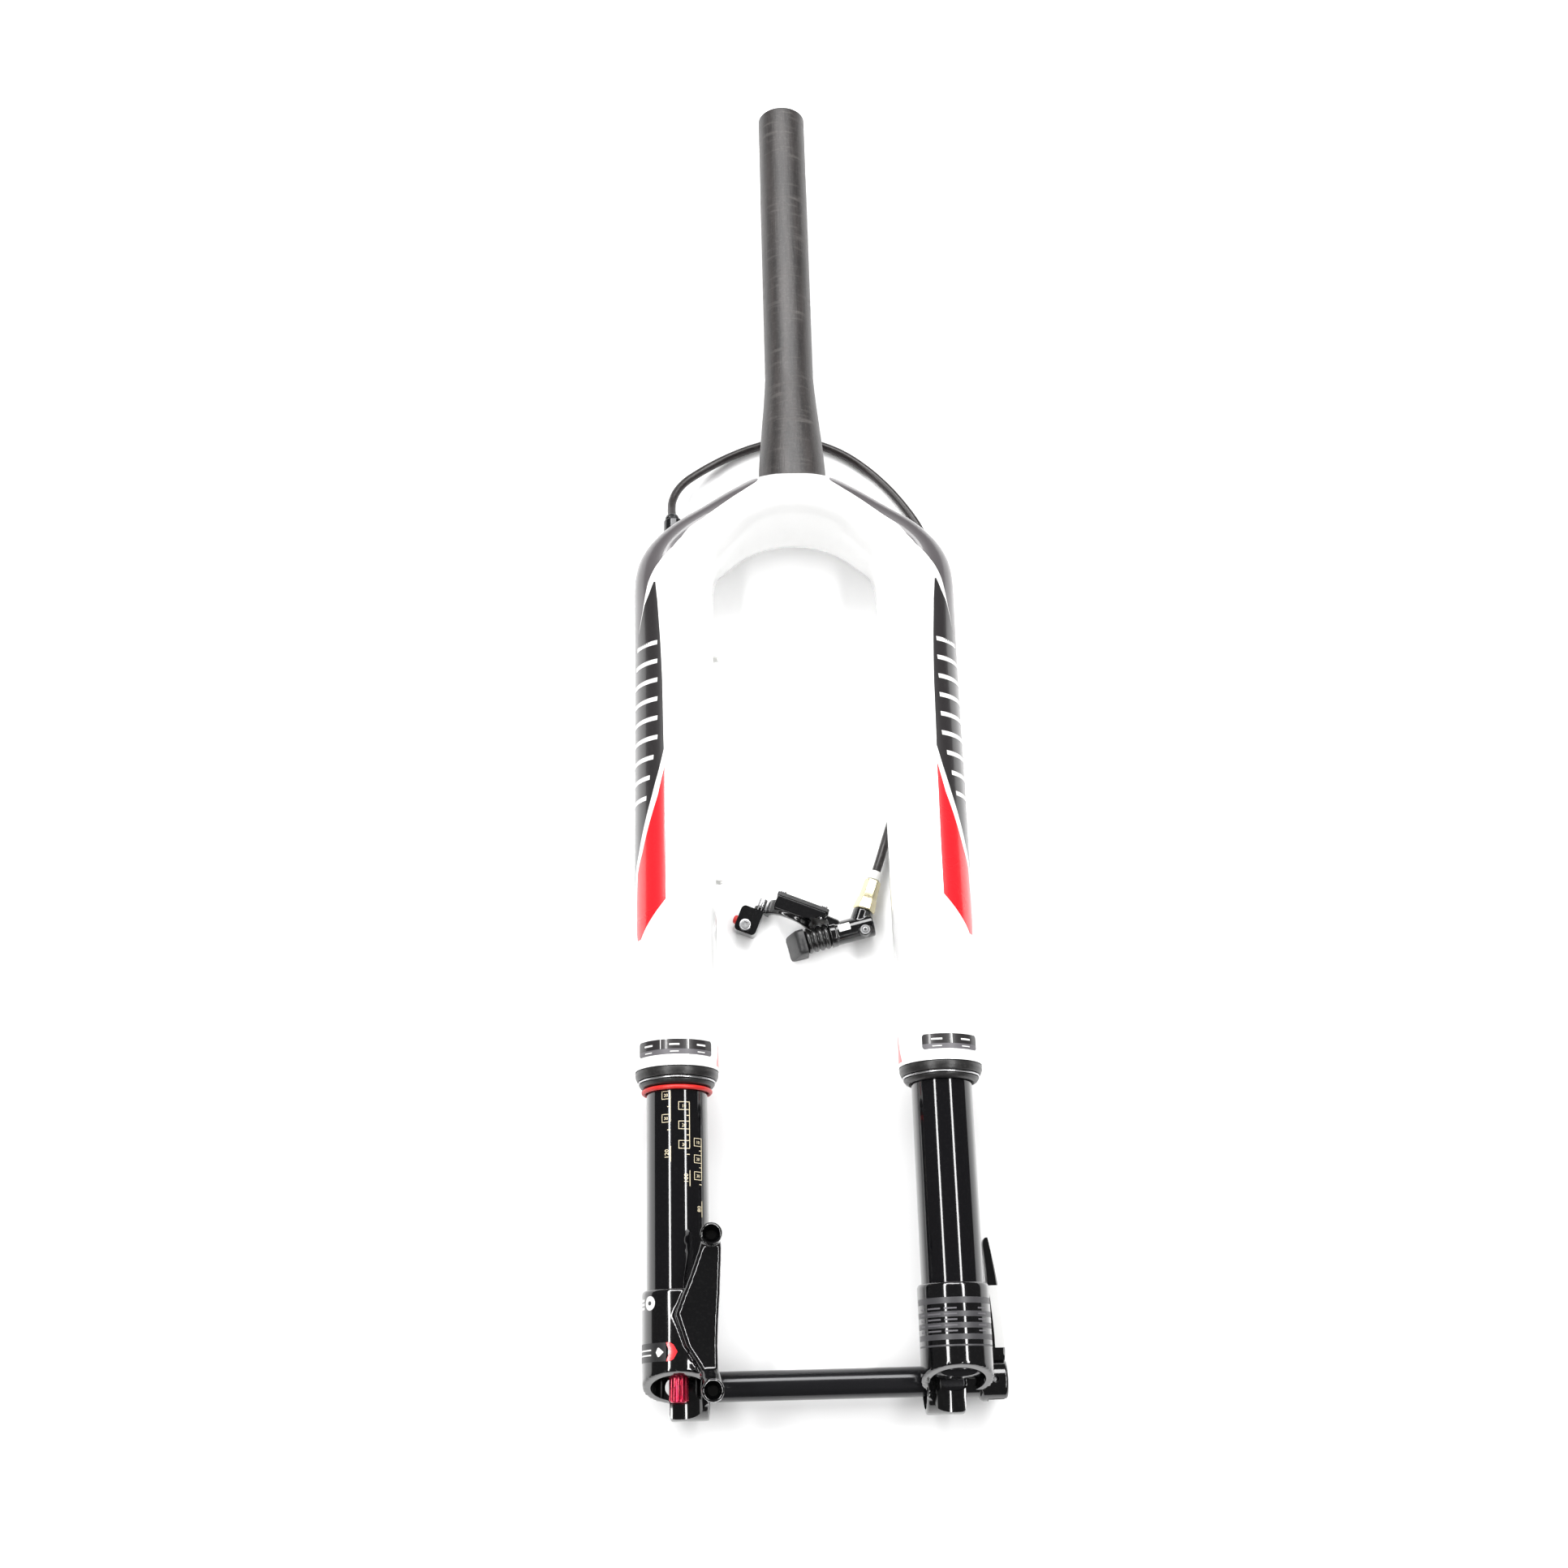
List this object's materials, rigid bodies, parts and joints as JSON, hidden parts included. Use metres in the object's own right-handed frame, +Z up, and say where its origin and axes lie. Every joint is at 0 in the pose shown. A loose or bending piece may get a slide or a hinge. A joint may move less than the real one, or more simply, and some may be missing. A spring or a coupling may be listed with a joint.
{
  "type": "suspension fork",
  "caption": "Upside-down air suspension fork with a tapered steerer, white crown and uppers, post brake mount, quick-release axle and a lockout remote on its hose.",
  "frame": {"origin": "on the bench below the middle of the object's box, with the fork lying on its front", "axes": "+X towards the side with the axle lever, +Y along the fork towards the steerer, +Z up, from the fork's front to its rear"},
  "size_m": [0.19, 0.7744, 0.0727],
  "materials": {
    "bare_carbon": "matt clear-coated carbon laminate, lightly scuffed",
    "white_paint": "gloss white paint over carbon, with grey and red bands",
    "black_anodised": "gloss black anodised aluminium",
    "black_gloss": "gloss black painted aluminium",
    "black_rubber": "black seal rubber",
    "black_plastic": "black moulded plastic",
    "red_anodised": "bright red anodised aluminium",
    "red_rubber": "red rubber",
    "steel": "bright machined steel",
    "nickel": "pale gold plated brass, bright",
    "white_plastic": "white plastic",
    "bronze": "sintered bronze bearing",
    "foam": "oil-soaked foam",
    "hose": "smooth black hydraulic hose"
  },
  "bodies": {
    "chassis": {"steerer_tube": "bare_carbon", "crown": "white_paint", "upper_tube_left": "white_paint", "upper_tube_right": "white_paint", "top_cap_left": "black_anodised", "top_cap_right": "black_anodised", "hose_swivel": "black_anodised", "remote_body": "black_gloss", "wiper_seal_left": "black_rubber", "wiper_seal_right": "black_rubber", "top_out_bumper": "black_rubber", "bellows": "black_rubber", "air_piston": "black_plastic", "reservoir_cover": "black_plastic", "seal_spring_left": "steel", "seal_spring_right": "steel", "damper_head": "steel", "damper_cartridge": "steel", "damper_gland": "steel", "air_shaft": "steel", "cover_screw_1": "steel", "cover_screw_2": "steel", "hinge_pin": "steel", "bleed_screw": "steel", "hose_nut": "nickel", "hose_guide_top": "white_plastic", "hose_guide_bottom": "white_plastic", "hose_ferrule": "white_plastic", "upper_bushing_left": "bronze", "upper_bushing_right": "bronze", "lower_bushing_left": "bronze", "lower_bushing_right": "bronze", "foam_ring_left": "foam", "foam_ring_right": "foam", "remote_hose": "hose"},
    "lowers": {"stanchion_left": "black_anodised", "stanchion_right": "black_anodised", "casting_left": "black_gloss", "casting_right": "black_gloss", "foot_nut_left": "steel", "damper_shaft": "steel", "damper_piston": "steel", "air_seal_head": "steel", "air_valve": "steel"},
    "sag_ring": {"sag_ring": "red_rubber"},
    "knob": {"rebound_knob": "red_anodised"},
    "valve_cap": {"air_cap": "black_anodised"},
    "axle": {"axle_tube": "black_anodised", "axle_head": "black_anodised", "draw_rod": "steel", "lever_pin": "steel"},
    "lever": {"axle_lever": "black_gloss"},
    "button": {"thumb_button": "black_plastic", "master_piston": "steel"},
    "jaw": {"clamp_jaw": "black_gloss", "clamp_bolt": "steel", "jaw_plug": "red_rubber"}
  },
  "joints": [
    {"name": "fork_travel", "type": "slide", "parent": "chassis", "child": "lowers", "axis": [0, 0.9998, -0.0181], "range_m": [0, 0.1], "stiffness_N_per_m": 6500, "springref_m": -0.006},
    {"name": "sag_ring_slide", "type": "slide", "parent": "lowers", "child": "sag_ring", "axis": [0, -0.9998, 0.0181], "range_m": [0, 0.1]},
    {"name": "rebound_turn", "type": "hinge", "parent": "lowers", "child": "knob", "pos_m": [-0.07, -0.37056, 0.0365], "axis": [0, 0.9998, -0.0181], "range_deg": [-270, 270]},
    {"name": "air_cap_turn", "type": "hinge", "parent": "lowers", "child": "valve_cap", "pos_m": [0.07, -0.36457, 0.03639], "axis": [0, 0.9998, -0.0181], "range_deg": [0, 1080]},
    {"name": "axle_turn", "type": "hinge", "parent": "lowers", "child": "axle", "pos_m": [0, -0.37093, 0.0165], "axis": [1, 0, 0], "range_deg": [-180, 0]},
    {"name": "lever_swing", "type": "hinge", "parent": "axle", "child": "lever", "pos_m": [0.0902, -0.37093, 0.0165], "axis": [0, -0.0181, -0.9998], "range_deg": [0, 130]},
    {"name": "button_push", "type": "slide", "parent": "chassis", "child": "button", "axis": [0.9703, 0.2419, 0], "range_m": [0, 0.008], "stiffness_N_per_m": 1500, "springref_m": -0.002, "deforming": ["bellows"]},
    {"name": "jaw_swing", "type": "hinge", "parent": "chassis", "child": "jaw", "pos_m": [-0.02619, -0.12212, 0.0044], "axis": [0.3746, 0.9272, 0], "range_deg": [0, 110]}
  ],
  "couplings": [
    {"joint": "sag_ring_slide", "follows": "fork_travel", "ratio": 1}
  ]
}
